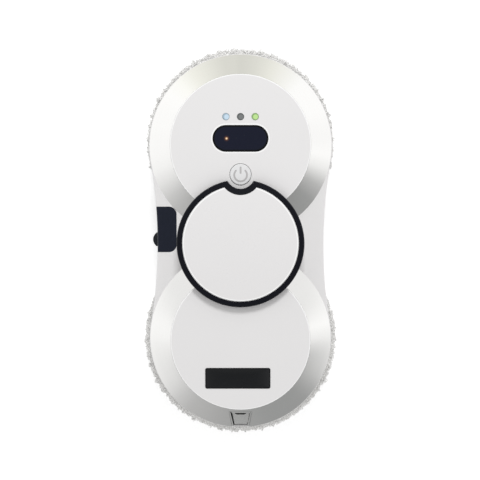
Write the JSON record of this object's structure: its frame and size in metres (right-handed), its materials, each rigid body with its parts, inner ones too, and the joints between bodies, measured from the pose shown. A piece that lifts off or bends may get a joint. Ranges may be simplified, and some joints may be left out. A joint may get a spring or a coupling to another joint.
{
  "type": "window cleaning robot",
  "caption": "Two-lobed window cleaning robot: a drafted white shell with silver trim rings over spinning round mop pads, a raised suction fan tower, a side water tank and a spray nozzle.",
  "frame": {"origin": "middle of the robot in plan, on the plane of the glass that its mop pads lie on", "axes": "+Z away from the glass, +Y along the line through both mop discs towards the lobe with the power button, +X to the right as seen from above, so the water tank is on the -X side"},
  "size_m": [0.149, 0.3, 0.0655],
  "materials": {
    "white_shell": "satin",
    "silver_trim": "satin",
    "black_gloss": "gloss",
    "dark_window": "gloss",
    "tank_plastic": "gloss",
    "blue_light": "gloss",
    "grey_light": "gloss",
    "green_light": "gloss",
    "amber_lamp": "gloss",
    "circuit_board": "satin",
    "black_plastic": "matte",
    "grey_plastic": "matte",
    "plug_rubber": "matte",
    "silicone_hose": "satin",
    "cell_wrap": "satin",
    "bright_steel": "satin",
    "brass_gear": "satin",
    "gear_nylon": "satin",
    "mop_pile": "matte"
  },
  "bodies": {
    "chassis": {"base_housing": "white_shell", "top_cover": "white_shell", "front_trim_ring": "silver_trim", "rear_trim_ring": "silver_trim", "exhaust_ring": "black_gloss", "fan_cover": "white_shell", "sensor_window": "dark_window", "left_status_light": "blue_light", "middle_status_light": "grey_light", "right_status_light": "green_light", "control_board": "circuit_board", "infrared_receiver": "black_plastic", "charge_lamp": "amber_lamp", "buzzer": "black_plastic", "power_switch": "grey_plastic", "water_tank": "tank_plastic", "spray_pump": "grey_plastic", "water_hose": "silicone_hose", "nozzle_housing": "silver_trim", "spray_jet": "black_plastic", "dc_jack": "black_plastic", "battery_tray": "grey_plastic", "battery_cells": "cell_wrap", "fan_housing": "grey_plastic", "fan_diffuser": "grey_plastic", "fan_motor": "bright_steel", "front_drive_motor": "bright_steel", "rear_drive_motor": "bright_steel", "front_motor_bracket": "bright_steel", "rear_motor_bracket": "bright_steel", "front_bush": "brass_gear", "rear_bush": "brass_gear", "front_disc_seal": "plug_rubber", "rear_disc_seal": "plug_rubber", "housing_screws": "bright_steel", "bracket_screws": "bright_steel", "board_screws": "bright_steel", "fan_screws": "bright_steel"},
    "front_mop": {"front_mop_disc": "grey_plastic", "front_pad_ring": "grey_plastic", "front_mop_pad": "mop_pile", "front_axle": "bright_steel", "front_drive_gear": "gear_nylon", "front_hub_screw": "bright_steel"},
    "rear_mop": {"rear_mop_disc": "grey_plastic", "rear_pad_ring": "grey_plastic", "rear_mop_pad": "mop_pile", "rear_axle": "bright_steel", "rear_drive_gear": "gear_nylon", "rear_hub_screw": "bright_steel"},
    "front_motor_rotor": {"front_motor_shaft": "bright_steel", "front_pinion": "brass_gear"},
    "rear_motor_rotor": {"rear_motor_shaft": "bright_steel", "rear_pinion": "brass_gear"},
    "fan_rotor": {"fan_shaft": "bright_steel", "fan_impeller": "black_plastic"},
    "button": {"power_button": "white_shell", "switch_plunger": "black_plastic"},
    "plug": {"tank_plug": "plug_rubber"}
  },
  "joints": [
    {"name": "front_mop_spin", "type": "hinge", "parent": "chassis", "child": "front_mop", "pos_m": [0, 0.0755, 0.01], "axis": [0, 0, 1], "continuous": true},
    {"name": "rear_mop_spin", "type": "hinge", "parent": "chassis", "child": "rear_mop", "pos_m": [0, -0.0755, 0.01], "axis": [0, 0, 1], "continuous": true},
    {"name": "front_pinion_spin", "type": "hinge", "parent": "chassis", "child": "front_motor_rotor", "pos_m": [-0.036, 0.0755, 0.025], "axis": [0, 0, 1], "continuous": true},
    {"name": "rear_pinion_spin", "type": "hinge", "parent": "chassis", "child": "rear_motor_rotor", "pos_m": [0.036, -0.0755, 0.025], "axis": [0, 0, 1], "continuous": true},
    {"name": "fan_spin", "type": "hinge", "parent": "chassis", "child": "fan_rotor", "pos_m": [0, 0, 0.035], "axis": [0, 0, 1], "continuous": true},
    {"name": "power_button_press", "type": "slide", "parent": "chassis", "child": "button", "axis": [0, 0, -1], "range_m": [0, 0.0008], "stiffness_N_per_m": 1500, "springref_m": -0.0005},
    {"name": "tank_plug_pull", "type": "slide", "parent": "chassis", "child": "plug", "axis": [-1, 0, 0], "range_m": [0, 0.014]}
  ],
  "couplings": [
    {"joint": "front_pinion_spin", "follows": "front_mop_spin", "ratio": -3.8},
    {"joint": "rear_pinion_spin", "follows": "rear_mop_spin", "ratio": -3.8}
  ]
}
